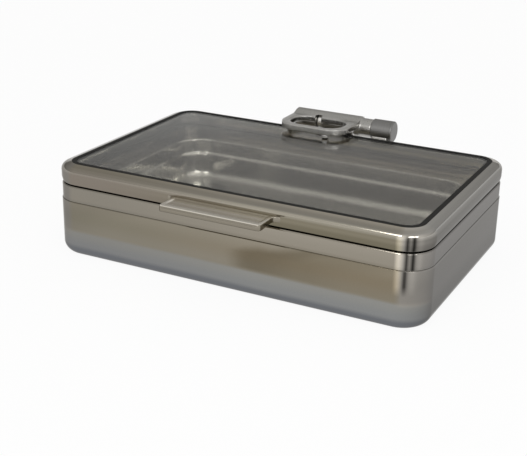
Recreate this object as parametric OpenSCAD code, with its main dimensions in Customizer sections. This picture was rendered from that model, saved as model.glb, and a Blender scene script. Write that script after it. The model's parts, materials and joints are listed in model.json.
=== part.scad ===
// Countertop chafing dish: a drawn water pan, a full-size food pan and a glass lid on a damped hinge.
// Millimetres. X runs left to right, Y front to back, Z up; the origin is the middle of the resting face.

/* [Lid] */
// Width of the lid
lid_w = 580; // [570:1:600]
// Depth of the lid
lid_d = 378; // [370:1:400]
// Corner radius of the lid in plan
corner_r = 42; // [38:1:46]
// Height of the glass rim above the lid's bottom edge
lid_rise = 28; // [27:0.5:34]
// Slope of the top of the rim, in degrees
rim_slope = 16; // [8:1:20]
// Radius of the rim's outer rounding
rim_round = 9.5; // [7:0.5:11]
// How far the skirt tucks in at its bottom edge
skirt_tuck = 1.5; // [0.5:0.1:2.5]
// Height of the tucked part of the skirt
skirt_tuck_h = 7; // [4:0.5:8]
// Width of the turned-in flange at the bottom of the skirt
skirt_flange = 11; // [10:0.5:14]
// Sheet thickness of the lid frame and the retainer
lid_sheet = 1.5; // [1:0.1:2]

/* [Glass] */
// Distance from the lid's edge to the gasket
gasket_inset = 16; // [15:0.5:19]
// Visible width of the gasket
gasket_w = 7.5; // [6.5:0.5:9]
// How far the glass sits in the gasket
glass_bite = 4; // [3:0.5:5]
// Thickness of the glass
glass_t = 5; // [4:0.5:6]
// Thickness of the gasket's upper lip
gasket_lip = 0.8; // [0.6:0.1:1.2]
// Thickness of the gasket under the glass
gasket_floor = 1.2; // [0.8:0.1:2]
// Width of the retainer's flange under the gasket
retainer_w = 10; // [9:0.5:12]
// Height of the retainer's leg
retainer_h = 8; // [7:0.5:10]

/* [Body] */
// Height of the body's rim above the table
rim_z = 110; // [106:1:120]
// Height of the step between the collar and the water pan
step_z = 86; // [80:1:88]
// How far the lower wall stands proud of the lid's edge
body_proud = 0.4; // [0:0.1:1]
// How far the collar stands back from the lower wall
collar_inset = 1; // [0.5:0.1:2]
// Radius of the rounded base
base_round = 17; // [12:1:22]
// Sheet thickness of the water pan and the collar
body_sheet = 1.2; // [1:0.1:1.6]
// Radius of the collar's top edge
collar_round = 3; // [2:0.5:4]
// Radius of the water pan's shoulder at the step
step_round = 1.6; // [1.6:0.1:3]
// Width of the seam flanges where the collar sits on the pan
seam_w = 7; // [5:0.5:9]
// Gap between the rim and the lid's bottom edge
lid_gap = 2; // [1.6:0.1:3]
// Distance from the lid's edge to the rim seal
seal_inset = 5; // [4:0.5:6]
// Width of the rim seal
seal_w = 5; // [4:0.5:6]

/* [Food pan] */
// Width of the food pan over its flange
pan_w = 530; // [520:1:530]
// Depth of the food pan over its flange
pan_d = 325; // [315:1:325]
// Height of the food pan
pan_depth = 65; // [40:1:68]
// Flange width on the straight sides
pan_flange = 13; // [11:0.5:16]
// Corner radius of the flange
pan_flange_r = 20; // [14:1:30]
// Corner radius of the pan's walls
pan_corner_r = 50; // [44:1:60]
// Radius between walls and floor
pan_base_r = 14; // [10:1:20]
// Height of the stacking shoulder under the flange
pan_shoulder = 22; // [16:1:26]
// Inward step at the stacking shoulder
pan_shoulder_step = 3; // [2:0.5:4]
// Draft of the walls, per side, over each wall section
pan_draft = 1.4; // [0.5:0.1:2]
// Sheet thickness of the food pan
pan_sheet = 1; // [0.8:0.1:1.2]
// Depth of the ledge that the flange rests on, below the rim
pan_recess = 14; // [10:0.5:16]
// Gap around the flange
pan_gap = 4; // [1:0.1:5]
// Gap between the pan's walls and the ledge's opening
ledge_gap = 2; // [1.5:0.5:3]

/* [Handle] */
// Width of the handle
handle_w = 156; // [120:1:180]
// How far the handle reaches out from the skirt
handle_reach = 43; // [34:1:50]
// Thickness of the handle's front lip
handle_lip = 9; // [8:0.5:10]
// Thickness of the handle at the skirt
handle_root = 7.6; // [7:0.1:8]
// Depth of the dish in the handle's top face
handle_dish = 1.4; // [0:0.1:2]
// Depth of the finger groove under the handle
handle_groove = 2.4; // [0:0.1:3]
// Width of the raised end ribs
handle_rib = 6; // [4:0.5:9]
// Plan radius of the handle's front corners
handle_corner = 9; // [5:0.5:12]
// Radius of the flares where the handle meets the skirt
handle_flare = 9; // [5:0.5:12]
// Distance between the two handle screws
handle_screw_span = 104; // [80:1:112]

/* [Hinge] */
// Distance of the hinge axis behind the lid's edge
axis_back = 27; // [25:0.5:32]
// Height of the hinge axis above the top of the rim
axis_rise = 3; // [2:0.5:5]
// Radius of the hinge shaft
shaft_r = 4; // [3:0.5:5]
// Running clearance of the shaft, on the radius
shaft_gap = 0.05; // [0.02:0.01:0.1]
// Left end of the hinge leaf
leaf_left = -81; // [-88:1:-79]
// Right end of the hinge leaf's plate
leaf_right = 36; // [34:1:40]
// How far the leaf reaches in over the lid
leaf_reach = 58; // [54:1:60]
// Height of the leaf's underside above the top of the rim
leaf_lift = 5.5; // [5:0.25:6.5]
// Thickness of the leaf's plate
leaf_t = 10; // [9:0.5:11]
// Radius of the knuckle around the shaft
knuckle_r = 18; // [17:0.5:19]
// Plan radius of the leaf's front corners
leaf_front_r = 30; // [26:1:34]
// Plan radius of the leaf's back corners
leaf_back_r = 7; // [4:0.5:9]
// Width of the leaf's side arms beside the window
leaf_arm = 13; // [12:0.5:15]
// Width of the leaf's front band
leaf_band = 11; // [9:0.5:12]
// Depth of the window
window_d = 54; // [50:0.5:54]
// Corner radius of the window
window_r = 24; // [16:1:24]
// Width of the bevel around the window
window_bevel = 2; // [1:0.25:3]
// Width of the feet that stand on the rim
foot_w = 11; // [9:0.5:12]
// Radius of the post under the front band
post_r = 6; // [5:0.25:6.5]
// Place of the post along the front band
post_x = 5; // [-40:1:6]
// Thickness of the pad under the post
pad_t = 1.6; // [1:0.1:2.5]
// Radius of the neck beside the barrel
neck_r = 15.5; // [13:0.5:16.5]
// Left end of the barrel
barrel_left = 57; // [54:1:62]
// Length of the barrel, without its cap
barrel_l = 31.5; // [30:0.5:44]
// Outer radius of the barrel
barrel_r = 17; // [15.5:0.5:18]
// Wall of the barrel
barrel_wall = 3; // [2:0.5:3.5]
// Thickness of the barrel's end cap
cap_t = 4; // [3:0.5:6]
// Length of the cap's plug inside the barrel
cap_plug = 3; // [2:0.5:5]
// Rounding of the cap's edge
cap_round = 2.5; // [1:0.5:3]
// Length of the barrel's bush
bush_l = 7; // [5:0.5:9]
// Radius of the damper's chamber
damper_r = 9.3; // [8:0.1:10]
// Gap between the damper's rotor and its chamber
damper_gap = 0.3; // [0.2:0.05:0.5]
// Place of the lug's middle along the axis
lug_x = -35; // [-40:1:-24]
// Width of the lug
lug_w = 9; // [8:0.5:12]
// Radius of the lug's eye
lug_r = 13; // [11:0.25:13.25]
// Outer radius of the lug's bush
lug_bush_r = 6.5; // [5.5:0.25:8]
// Free space around the lug inside the knuckle
lug_gap = 0.8; // [0.5:0.1:1]
// Thickness of the bracket's plate
bracket_t = 4; // [3:0.5:6]
// Thickness of the backing plate
backing_t = 3; // [2:0.5:4]
// Distance from the bracket plate's ends to the nearest lug or seat
bracket_ear = 26; // [20:1:30]

/* [Fasteners] */
// Shank radius of the bracket and handle screws
screw_r = 2; // [1.5:0.25:2.5]
// Head radius of the bracket and handle screws
screw_head_r = 3.6; // [3:0.1:3.8]
// Head height of the screws
screw_head_h = 2.4; // [2:0.1:3]
// Shank radius of the leaf screws and the set screw
leaf_screw_r = 1.75; // [1.5:0.05:2]
// Head radius of the leaf screws
leaf_head_r = 3; // [2.5:0.1:3.2]

/* [Hidden] */
$fn = 64;

// Overlap that lets cutters pass clean through a face
cut = 1;
// Room between a resting piece and its seat, where the two can part
rest_gap = 0.3;
// Points along each quarter turn of a section's rounding
arc_steps = 8;

// Levels of the lid
lid_z0 = rim_z + lid_gap;
top_z = lid_z0 + lid_rise;
glass_top = top_z - 0.6;
glass_bot = glass_top - glass_t;
gasket_top = glass_top + gasket_lip;
gasket_bot = glass_bot - gasket_floor;
lip_z = gasket_bot - retainer_h + 2;

// Rounding centre of the rim: the sloped top ends at the gasket, at the level of the rim's top
round_z = top_z - rim_round * cos(rim_slope)
    - (gasket_inset - rim_round * (1 - sin(rim_slope))) * tan(rim_slope);

// Outlines in plan
body_w = lid_w + 2 * body_proud;
body_d = lid_d + 2 * body_proud;
body_r = corner_r + body_proud;
collar_w = body_w - 2 * collar_inset;
collar_d = body_d - 2 * collar_inset;
collar_r = body_r - collar_inset;
gasket_r = corner_r - gasket_inset;
glass_inset = gasket_inset + gasket_w - glass_bite;

// Food pan and its well
ledge_z = rim_z - pan_recess;
flange_z = ledge_z + rest_gap;
pan_top = flange_z + pan_sheet;
well_w = pan_w + 2 * pan_gap;
well_d = pan_d + 2 * pan_gap;
well_r = pan_flange_r + pan_gap;
pan_body_w = pan_w - 2 * pan_flange;
pan_body_d = pan_d - 2 * pan_flange;

// Handle
front_y = -lid_d / 2;
handle_top = lid_z0 + skirt_tuck_h + handle_root;
handle_mid_z = handle_top - handle_root / 2;
handle_bull = handle_lip / 2;

// Hinge
back_y = lid_d / 2;
axis_y = back_y + axis_back;
axis_z = top_z + axis_rise;
leaf_front = back_y - leaf_reach;
leaf_back = axis_y + knuckle_r;
leaf_under = top_z + leaf_lift;
leaf_top = leaf_under + leaf_t;
window_w = leaf_right - leaf_left - 2 * leaf_arm;
window_x = (leaf_left + leaf_right) / 2;
window_y = leaf_front + leaf_band + window_d / 2;
foot_inset = 1;
foot_y0 = back_y - gasket_inset + 1;
foot_y1 = back_y - 1;
post_y = leaf_front + post_r;
neck_end = barrel_left - rest_gap;
barrel_right = barrel_left + barrel_l;
barrel_bore = barrel_r - barrel_wall;
damper_left = barrel_left + bush_l;
damper_right = barrel_right - cap_plug;
damper_wall = 2;
rotor_end_gap = 1;
shaft_left = leaf_left + 5;
shaft_right = damper_right - rotor_end_gap;
slot_r = lug_r + lug_gap;
set_screw_x = 12;
set_screw_l = 7;
leaf_screw_inset = 11;
leaf_screw_l = leaf_t / 2;
foot_x = [leaf_left + foot_inset + foot_w / 2, leaf_right - foot_inset - foot_w / 2];

// Bracket on the back of the collar
collar_back = collar_d / 2;
plate_back = collar_back + bracket_t;
plate_z0 = step_z + 3;
plate_z1 = rim_z - collar_round;
plate_mid_z = (plate_z0 + plate_z1) / 2;
lug_x0 = lug_x - lug_w / 2;
lug_x1 = lug_x + lug_w / 2;
seat_margin = 3;
seat_x0 = barrel_left + seat_margin;
seat_x1 = barrel_right - seat_margin;
plate_x0 = lug_x0 - bracket_ear;
plate_x1 = seat_x1 + bracket_ear;
ear_screw = 10;
bracket_screw_x = [
    plate_x0 + ear_screw,
    lug_x1 + bracket_ear,
    seat_x0 - bracket_ear / 2,
    plate_x1 - ear_screw
];

// Points of an arc about c, from angle a0 to a1
function arc(c, r, a0, a1) =
    [for (i = [0 : arc_steps]) let (a = a0 + (a1 - a0) * i / arc_steps) c + r * [cos(a), sin(a)]];

// Rectangle with round corners, centred
module round_rect(w, d, r) {
    square([w - 2 * r, d], center = true);
    square([w, d - 2 * r], center = true);
    for (sx = [-1, 1], sy = [-1, 1])
        translate([sx * (w / 2 - r), sy * (d / 2 - r)]) circle(r);
}

// Flat plate between two round rectangles
module ring_plate(w, d, r, inner_w, inner_d, inner_r, z, t) {
    translate([0, 0, z]) linear_extrude(t) difference() {
        round_rect(w, d, r);
        round_rect(inner_w, inner_d, inner_r);
    }
}

// Carries a section round a rectangle with round corners; the section's x is 0 at the outer face
module swept(w, d, r) {
    for (i = [0 : 3]) {
        across = i % 2 == 0 ? w : d;
        along = i % 2 == 0 ? d : w;
        rotate(90 * i) {
            translate([across / 2, along / 2 - r, 0])
                rotate([90, 0, 0]) linear_extrude(along - 2 * r) children();
            translate([across / 2 - r, along / 2 - r, 0])
                rotate_extrude(angle = 90) translate([r, 0]) children();
        }
    }
}

// Cylinder along X between two places on the hinge axis
module on_axis(x0, x1, r) {
    translate([x0, axis_y, axis_z]) rotate([0, 90, 0]) cylinder(h = x1 - x0, r = r);
}

// Solid with a given Y-Z outline between two places along X
module side_cut(x0, x1, points) {
    translate([x0, 0, 0]) rotate([90, 0, 90]) linear_extrude(x1 - x0) polygon(points);
}

// Screw along +Z: the head ends at z = 0 and the shank runs up from there
module screw(r, l, head_r, head_h) {
    cylinder(h = l, r = r);
    translate([0, 0, -head_h]) cylinder(h = head_h, r = head_r);
}

// Outline of the lid's visible surface, from the skirt's bottom edge to the gasket
lid_skin = concat(
    [[-skirt_tuck, lid_z0], [0, lid_z0 + skirt_tuck_h]],
    arc([-rim_round, round_z], rim_round, 0, 90 - rim_slope),
    [[-gasket_inset, top_z]]
);

// Drawn lower pan with a rounded base and a seam flange under the collar
module water_pan() {
    outer = concat(
        [[-body_r, 0]],
        arc([-base_round, base_round], base_round, -90, 0),
        arc([-step_round, step_z - step_round], step_round, 0, 90),
        [[-seam_w, step_z]]
    );
    inner = concat(
        [[-seam_w, step_z - body_sheet], [-body_sheet, step_z - body_sheet - step_round]],
        arc([-base_round, base_round], base_round - body_sheet, 0, -90),
        [[-body_r, body_sheet]]
    );
    color([0.62, 0.60, 0.57]) {
        swept(body_w, body_d, body_r) polygon(concat(outer, inner));
        translate([0, 0, body_sheet / 2])
            cube([body_w - 2 * body_r, body_d - 2 * body_r, body_sheet], center = true);
    }
}

// Band with the rounded rim and the wall of the well
module body_collar() {
    lap = 4;
    plate_edge = 12;
    seam = seam_w - collar_inset;
    outer = concat(
        [[-seam, step_z], [0, step_z]],
        arc([-collar_round, rim_z - collar_round], collar_round, 0, 90),
        [[-plate_edge, rim_z]]
    );
    inner = concat(
        [[-plate_edge, rim_z - body_sheet]],
        arc([-collar_round, rim_z - collar_round], collar_round - body_sheet, 90, 0),
        [[-body_sheet, step_z + body_sheet], [-seam, step_z + body_sheet]]
    );
    top_inset = 2 * (plate_edge - lap);
    color([0.64, 0.62, 0.59]) difference() {
        union() {
            swept(collar_w, collar_d, collar_r) polygon(concat(outer, inner));
            ring_plate(
                collar_w - top_inset, collar_d - top_inset, collar_r - top_inset / 2,
                well_w, well_d, well_r, rim_z - body_sheet, body_sheet
            );
            ring_plate(
                well_w + 2 * body_sheet, well_d + 2 * body_sheet, well_r + body_sheet,
                well_w, well_d, well_r, ledge_z, pan_recess
            );
        }
        for (x = bracket_screw_x)
            translate([x, collar_back + cut, plate_mid_z])
                rotate([90, 0, 0]) cylinder(h = body_sheet + 2 * cut, r = screw_r);
    }
}

// Flat ring under the wall of the well, which carries the food pan's flange
module pan_ledge() {
    color([0.62, 0.61, 0.59])
        ring_plate(
            well_w + 2 * body_sheet, well_d + 2 * body_sheet, well_r + body_sheet,
            pan_body_w + 2 * ledge_gap, pan_body_d + 2 * ledge_gap, pan_corner_r + ledge_gap,
            ledge_z - body_sheet, body_sheet
        );
}

// Silicone ring that the lid closes on
module rim_seal() {
    h = lid_gap - rest_gap;
    color([0.08, 0.08, 0.08])
        translate([0, 0, rim_z])
            swept(lid_w - 2 * seal_inset, lid_d - 2 * seal_inset, corner_r - seal_inset)
                translate([-seal_w, 0]) square([seal_w, h]);
}

// Plate with the barrel's seat and the lug for the shaft
module hinge_bracket() {
    root = plate_back - cut;
    seat_drop = 6;
    seat_in = 2;
    seat_back = axis_y + barrel_r - seat_in;
    web = 8;
    color([0.45, 0.44, 0.42]) difference() {
        union() {
            translate([plate_x0, collar_back, plate_z0])
                cube([plate_x1 - plate_x0, bracket_t, plate_z1 - plate_z0]);
            side_cut(seat_x0, seat_x1, [
                [root, plate_z0], [plate_back + 8, plate_z0],
                [seat_back, axis_z - barrel_r], [seat_back, axis_z - seat_drop],
                [axis_y - barrel_r + seat_in, axis_z - seat_drop], [root, plate_z1]
            ]);
            side_cut(lug_x0, lug_x1, [
                [root, plate_z0], [plate_back + 6, plate_z0],
                [axis_y + web, axis_z - 2 * lug_r], [axis_y + web, axis_z],
                [axis_y - web, axis_z], [axis_y - web, axis_z - lug_r - 2], [root, plate_z1]
            ]);
            on_axis(lug_x0, lug_x1, lug_r);
        }
        on_axis(lug_x0 - cut, lug_x1 + cut, lug_bush_r);
        on_axis(seat_x0 - cut, seat_x1 + cut, barrel_r);
        for (x = bracket_screw_x)
            translate([x, plate_back + cut, plate_mid_z])
                rotate([90, 0, 0]) cylinder(h = bracket_t + 2 * cut, r = screw_r);
    }
}

// Strip inside the collar that takes the bracket's screws
module backing_plate() {
    color([0.5, 0.5, 0.5]) difference() {
        translate([plate_x0, collar_back - body_sheet - backing_t, plate_z0])
            cube([plate_x1 - plate_x0, backing_t, plate_z1 - plate_z0 - 2]);
        for (x = bracket_screw_x)
            translate([x, collar_back, plate_mid_z])
                rotate([90, 0, 0]) cylinder(h = body_sheet + backing_t + cut, r = screw_r);
    }
}

module bracket_screws() {
    color([0.55, 0.55, 0.55])
        for (x = bracket_screw_x)
            translate([x, plate_back, plate_mid_z]) rotate([90, 0, 0])
                screw(screw_r, bracket_t + body_sheet + backing_t, screw_head_r, screw_head_h);
}

// Round barrel that holds the damper
module barrel_housing() {
    color([0.42, 0.41, 0.40]) difference() {
        on_axis(barrel_left, barrel_right, barrel_r);
        on_axis(barrel_left - cut, barrel_right + cut, barrel_bore);
    }
}

// Flat end of the barrel, with a rounded edge and a plug
module barrel_cap() {
    section = concat(
        [[0, -cap_plug], [barrel_bore, -cap_plug], [barrel_bore, 0], [barrel_r, 0]],
        arc([barrel_r - cap_round, cap_t - cap_round], cap_round, 0, 90),
        [[0, cap_t]]
    );
    color([0.44, 0.43, 0.42])
        translate([barrel_right, axis_y, axis_z]) rotate([0, 90, 0]) rotate_extrude() polygon(section);
}

// Chamber of the slow-close damper
module damper_body() {
    color([0.2, 0.2, 0.2]) difference() {
        on_axis(damper_left, damper_right, barrel_bore);
        on_axis(damper_left + damper_wall, damper_right + cut, damper_r);
        on_axis(damper_left - cut, damper_left + damper_wall + cut, shaft_r + damper_gap);
    }
}

module barrel_bush() {
    color([0.72, 0.56, 0.32]) difference() {
        on_axis(barrel_left, damper_left, barrel_bore);
        on_axis(barrel_left - cut, damper_left + cut, shaft_r + shaft_gap);
    }
}

module lug_bush() {
    color([0.72, 0.56, 0.32]) difference() {
        on_axis(lug_x0, lug_x1, lug_bush_r);
        on_axis(lug_x0 - cut, lug_x1 + cut, shaft_r + shaft_gap);
    }
}

// Full-size insert pan with a flat flange and a stacking shoulder
module food_pan() {
    floor_z = pan_top - pan_depth;
    foot = 2 * pan_draft + pan_shoulder_step;
    shoulder_z = pan_top - pan_shoulder;
    shoulder = [-pan_draft, shoulder_z];
    below = [-pan_draft - pan_shoulder_step, shoulder_z - pan_shoulder_step];
    bend = [-foot - pan_base_r, floor_z + pan_base_r];
    outer = concat(
        [[0, flange_z], shoulder, below],
        arc(bend, pan_base_r, 0, -90),
        [[-pan_corner_r, floor_z], [-pan_corner_r, floor_z + pan_sheet]]
    );
    inner = concat(
        arc(bend, pan_base_r - pan_sheet, -90, 0),
        [below - [pan_sheet, 0], shoulder - [pan_sheet, 0], [-pan_sheet, flange_z], [-pan_sheet, pan_top],
        [0, pan_top]]
    );
    color([0.66, 0.65, 0.63]) {
        swept(pan_body_w, pan_body_d, pan_corner_r) polygon(concat(outer, inner));
        ring_plate(
            pan_w, pan_d, pan_flange_r, pan_body_w - 2 * pan_sheet, pan_body_d - 2 * pan_sheet,
            pan_corner_r - pan_sheet, flange_z, pan_sheet
        );
        translate([0, 0, floor_z + pan_sheet / 2]) cube(
            [pan_body_w - 2 * pan_corner_r, pan_body_d - 2 * pan_corner_r, pan_sheet], center = true
        );
    }
}

// Folded frame: sloped rim, rounded edge, tucked skirt, inner lip and bottom flange
module lid_frame() {
    lip_x = -gasket_inset + lid_sheet;
    inner_end = [-rim_round, round_z] + (rim_round - lid_sheet) * [sin(rim_slope), cos(rim_slope)];
    lip_top = inner_end[1] + (inner_end[0] - lip_x) * tan(rim_slope);
    inner = concat(
        [[-gasket_inset, lip_z], [lip_x, lip_z], [lip_x, lip_top]],
        arc([-rim_round, round_z], rim_round - lid_sheet, 90 - rim_slope, 0),
        [
            [-lid_sheet, lid_z0 + skirt_tuck_h], [-skirt_tuck - lid_sheet, lid_z0 + lid_sheet],
            [-skirt_flange, lid_z0 + lid_sheet], [-skirt_flange, lid_z0]
        ]
    );
    color([0.70, 0.68, 0.65]) difference() {
        swept(lid_w, lid_d, corner_r) polygon(concat(lid_skin, inner));
        for (sx = [-1, 1])
            translate([sx * handle_screw_span / 2, front_y - cut, handle_mid_z])
                rotate([-90, 0, 0]) cylinder(h = lid_sheet + 2 * cut, r = screw_r);
        for (x = foot_x)
            translate([x, back_y - leaf_screw_inset, round_z])
                cylinder(h = top_z - round_z + cut, r = leaf_screw_r);
    }
}

module lid_glass() {
    color([0.75, 0.8, 0.78, 0.4])
        translate([0, 0, glass_bot]) linear_extrude(glass_t)
            round_rect(lid_w - 2 * glass_inset, lid_d - 2 * glass_inset, corner_r - glass_inset);
}

// Black channel around the edge of the glass
module glass_gasket() {
    bite_x = -gasket_w + glass_bite;
    color([0.06, 0.06, 0.06])
        swept(lid_w - 2 * gasket_inset, lid_d - 2 * gasket_inset, gasket_r) polygon([
            [0, gasket_bot], [0, gasket_top], [-gasket_w + gasket_lip, gasket_top],
            [-gasket_w, glass_top], [bite_x, glass_top], [bite_x, glass_bot],
            [-gasket_w, glass_bot], [-gasket_w, gasket_bot]
        ]);
}

// Angle ring that holds the gasket up from below
module glass_retainer() {
    color([0.6, 0.59, 0.57])
        swept(lid_w - 2 * gasket_inset, lid_d - 2 * gasket_inset, gasket_r) polygon([
            [0, gasket_bot - retainer_h], [0, gasket_bot], [-retainer_w, gasket_bot],
            [-retainer_w, gasket_bot - lid_sheet], [-lid_sheet, gasket_bot - lid_sheet],
            [-lid_sheet, gasket_bot - retainer_h]
        ]);
}

// Wide tab with a round front lip, a dished top, end ribs and flares at the skirt
module lid_handle() {
    lip_y = front_y - handle_reach + handle_bull;
    lip_z = handle_top - handle_bull;
    root_z = handle_top - handle_root;
    mid_y = (lip_y + front_y) / 2;
    lip = arc([lip_y, lip_z], handle_bull, 270, 90);
    ribbed = concat([[front_y, root_z]], lip, [[front_y, handle_top]]);
    dished = concat(
        [[front_y, root_z], [mid_y, root_z + handle_groove]],
        lip,
        [[mid_y, handle_top - handle_dish], [front_y - 3, handle_top - handle_dish],
        [front_y, handle_top - handle_dish]]
    );
    half = handle_w / 2;
    color([0.72, 0.70, 0.67]) difference() {
        union() {
            intersection() {
                union() {
                    side_cut(-half + handle_rib, half - handle_rib, dished);
                    side_cut(-half, -half + handle_rib, ribbed);
                    side_cut(half - handle_rib, half, ribbed);
                }
                translate([0, front_y, 0]) linear_extrude(handle_top + cut)
                    round_rect(handle_w, 2 * handle_reach, handle_corner);
            }
            for (turn = [0, 1])
                mirror([turn, 0, 0]) translate([half, front_y - handle_flare, root_z])
                    linear_extrude(handle_root) difference() {
                        translate([-handle_rib, 0]) square([handle_rib + handle_flare, handle_flare]);
                        translate([handle_flare, 0]) circle(handle_flare);
                    }
        }
        for (sx = [-1, 1])
            translate([sx * handle_screw_span / 2, front_y + cut, handle_mid_z])
                rotate([90, 0, 0]) cylinder(h = handle_reach / 2, r = screw_r);
    }
}

module handle_screws() {
    color([0.55, 0.55, 0.55])
        for (sx = [-1, 1])
            translate([sx * handle_screw_span / 2, front_y + lid_sheet, handle_mid_z])
                rotate([90, 0, 0])
                    screw(screw_r, lid_sheet + handle_reach / 2 - cut, screw_head_r, screw_head_h);
}

// Outline of the leaf in plan: wide rounds at the front, tight ones at the back
module leaf_plan() {
    corners = [
        [leaf_left + leaf_front_r, leaf_front + leaf_front_r, leaf_front_r],
        [leaf_right - leaf_front_r, leaf_front + leaf_front_r, leaf_front_r],
        [leaf_left + leaf_back_r, leaf_back - leaf_back_r, leaf_back_r],
        [leaf_right - leaf_back_r, leaf_back - leaf_back_r, leaf_back_r]
    ];
    for (c = corners)
        translate([c[0], c[1]]) circle(c[2]);
    translate([leaf_left + leaf_front_r, leaf_front])
        square([leaf_right - leaf_left - 2 * leaf_front_r, leaf_front_r + cut]);
    translate([leaf_left, leaf_front + leaf_front_r])
        square([leaf_right - leaf_left, leaf_back - leaf_front - leaf_front_r - leaf_back_r]);
    translate([leaf_left + leaf_back_r, leaf_back - leaf_back_r - cut])
        square([leaf_right - leaf_left - 2 * leaf_back_r, leaf_back_r + cut]);
}

// Window through the leaf, with a bevel around its top edge
module leaf_window() {
    bevel = window_bevel + cut;
    inner = -bevel - cut;
    high = leaf_top + cut;
    translate([window_x, window_y, 0]) {
        linear_extrude(high) round_rect(window_w, window_d, window_r);
        swept(window_w + 2 * bevel, window_d + 2 * bevel, window_r + bevel)
            polygon([[0, high], [inner, high + inner], [inner, high]]);
    }
}

// Cast loop that carries the lid: a front band over the glass, two arms with feet on the rim,
// and a knuckle with a slot for the lug; its top ramps up to the knuckle
module hinge_leaf() {
    axis = [axis_y, axis_z];
    ramp = [window_y + window_d / 2 + window_bevel, leaf_top];
    to_axis = axis - ramp;
    ramp_a = atan2(to_axis[1], to_axis[0]) + asin(knuckle_r / norm(to_axis));
    under_a = asin((leaf_under - axis_z) / knuckle_r);
    side = concat(
        [[leaf_front, leaf_under], [leaf_front, leaf_top], ramp],
        arc(axis, knuckle_r, 90 + ramp_a, -90),
        arc(axis, knuckle_r, -90, -180 - under_a)
    );
    color([0.50, 0.49, 0.47]) difference() {
        union() {
            intersection() {
                side_cut(leaf_left, leaf_right, side);
                linear_extrude(axis_z + knuckle_r + cut) leaf_plan();
            }
            on_axis(leaf_right - leaf_back_r - cut, neck_end, neck_r);
            for (x = foot_x)
                translate([x - foot_w / 2, foot_y0, round_z])
                    cube([foot_w, foot_y1 - foot_y0, leaf_under + cut - round_z]);
        }
        swept(lid_w, lid_d, corner_r) polygon(concat(lid_skin, [[-gasket_inset, lid_z0]]));
        leaf_window();
        translate([lug_x0 - lug_gap, window_y, axis_z - knuckle_r - cut])
            cube([lug_w + 2 * lug_gap, leaf_back - window_y + cut, knuckle_r + cut + slot_r]);
        on_axis(shaft_left, neck_end + cut, shaft_r);
        translate([set_screw_x, axis_y, axis_z - knuckle_r - cut])
            cylinder(h = knuckle_r + cut, r = leaf_screw_r);
        for (x = foot_x)
            translate([x, back_y - leaf_screw_inset, round_z])
                cylinder(h = leaf_under + leaf_screw_l - round_z, r = leaf_screw_r);
    }
}

// Polished post under the leaf's front band
module leaf_post() {
    foot_z = glass_top + pad_t;
    color([0.72, 0.71, 0.69])
        translate([post_x, post_y, foot_z]) cylinder(h = leaf_under - foot_z, r = post_r);
}

// Rubber disc between the post and the glass
module leaf_pad() {
    color([0.07, 0.07, 0.07])
        translate([post_x, post_y, glass_top]) cylinder(h = pad_t, r = post_r - 1);
}

// Screws from under the rim; the outer edge of each head just clears the rim's slope
module leaf_screws() {
    head_clear = 0.1;
    drop = (gasket_inset - leaf_screw_inset + leaf_head_r) * tan(rim_slope);
    head_z = top_z - drop - lid_sheet / cos(rim_slope) - head_clear;
    color([0.55, 0.55, 0.55])
        for (x = foot_x)
            translate([x, back_y - leaf_screw_inset, head_z])
                screw(leaf_screw_r, leaf_under + leaf_screw_l - cut - head_z, leaf_head_r, screw_head_h);
}

module hinge_shaft() {
    color([0.7, 0.7, 0.7]) on_axis(shaft_left, shaft_right, shaft_r);
}

module shaft_set_screw() {
    color([0.3, 0.3, 0.3])
        translate([set_screw_x, axis_y, axis_z - shaft_r - set_screw_l])
            cylinder(h = set_screw_l, r = leaf_screw_r);
}

// Paddle drum of the damper, fixed on the shaft
module damper_rotor() {
    color([0.35, 0.35, 0.35]) difference() {
        on_axis(damper_left + damper_wall + rotor_end_gap, shaft_right, damper_r - damper_gap);
        on_axis(damper_left, shaft_right + cut, shaft_r);
    }
}

water_pan();
body_collar();
pan_ledge();
rim_seal();
hinge_bracket();
backing_plate();
bracket_screws();
barrel_housing();
barrel_cap();
damper_body();
barrel_bush();
lug_bush();
food_pan();
lid_frame();
lid_glass();
glass_gasket();
glass_retainer();
lid_handle();
handle_screws();
hinge_leaf();
leaf_post();
leaf_pad();
leaf_screws();
hinge_shaft();
shaft_set_screw();
damper_rotor();
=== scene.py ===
# %% [markdown]
# # A chafing dish with a glass lid
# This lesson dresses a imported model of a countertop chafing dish: a drawn water pan, a collar, a
# lift-out food pan and a flat glass lid on a damped hinge. The frame gives every size and place, so
# each piece is made where it belongs and nothing is fitted by eye afterwards.

# %% Load the frame
import json
import math

import bmesh
import bpy
from mathutils import Matrix, Vector


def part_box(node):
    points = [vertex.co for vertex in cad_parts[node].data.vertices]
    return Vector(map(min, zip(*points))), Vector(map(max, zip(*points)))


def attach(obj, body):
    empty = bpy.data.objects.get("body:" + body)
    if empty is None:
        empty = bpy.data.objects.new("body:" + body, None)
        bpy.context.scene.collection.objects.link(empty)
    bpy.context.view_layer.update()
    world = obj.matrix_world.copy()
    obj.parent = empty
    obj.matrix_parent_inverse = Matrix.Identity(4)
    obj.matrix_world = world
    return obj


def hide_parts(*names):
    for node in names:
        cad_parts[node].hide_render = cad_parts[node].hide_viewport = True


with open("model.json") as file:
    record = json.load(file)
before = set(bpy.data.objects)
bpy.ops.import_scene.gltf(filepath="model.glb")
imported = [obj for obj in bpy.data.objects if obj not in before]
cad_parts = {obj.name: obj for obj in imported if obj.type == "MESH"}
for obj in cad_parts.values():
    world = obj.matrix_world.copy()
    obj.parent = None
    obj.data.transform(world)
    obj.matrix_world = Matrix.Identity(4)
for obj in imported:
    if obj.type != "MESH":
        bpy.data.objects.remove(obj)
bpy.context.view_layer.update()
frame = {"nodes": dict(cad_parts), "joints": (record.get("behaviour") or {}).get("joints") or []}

MM = 0.001
scene = bpy.context.scene

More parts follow.
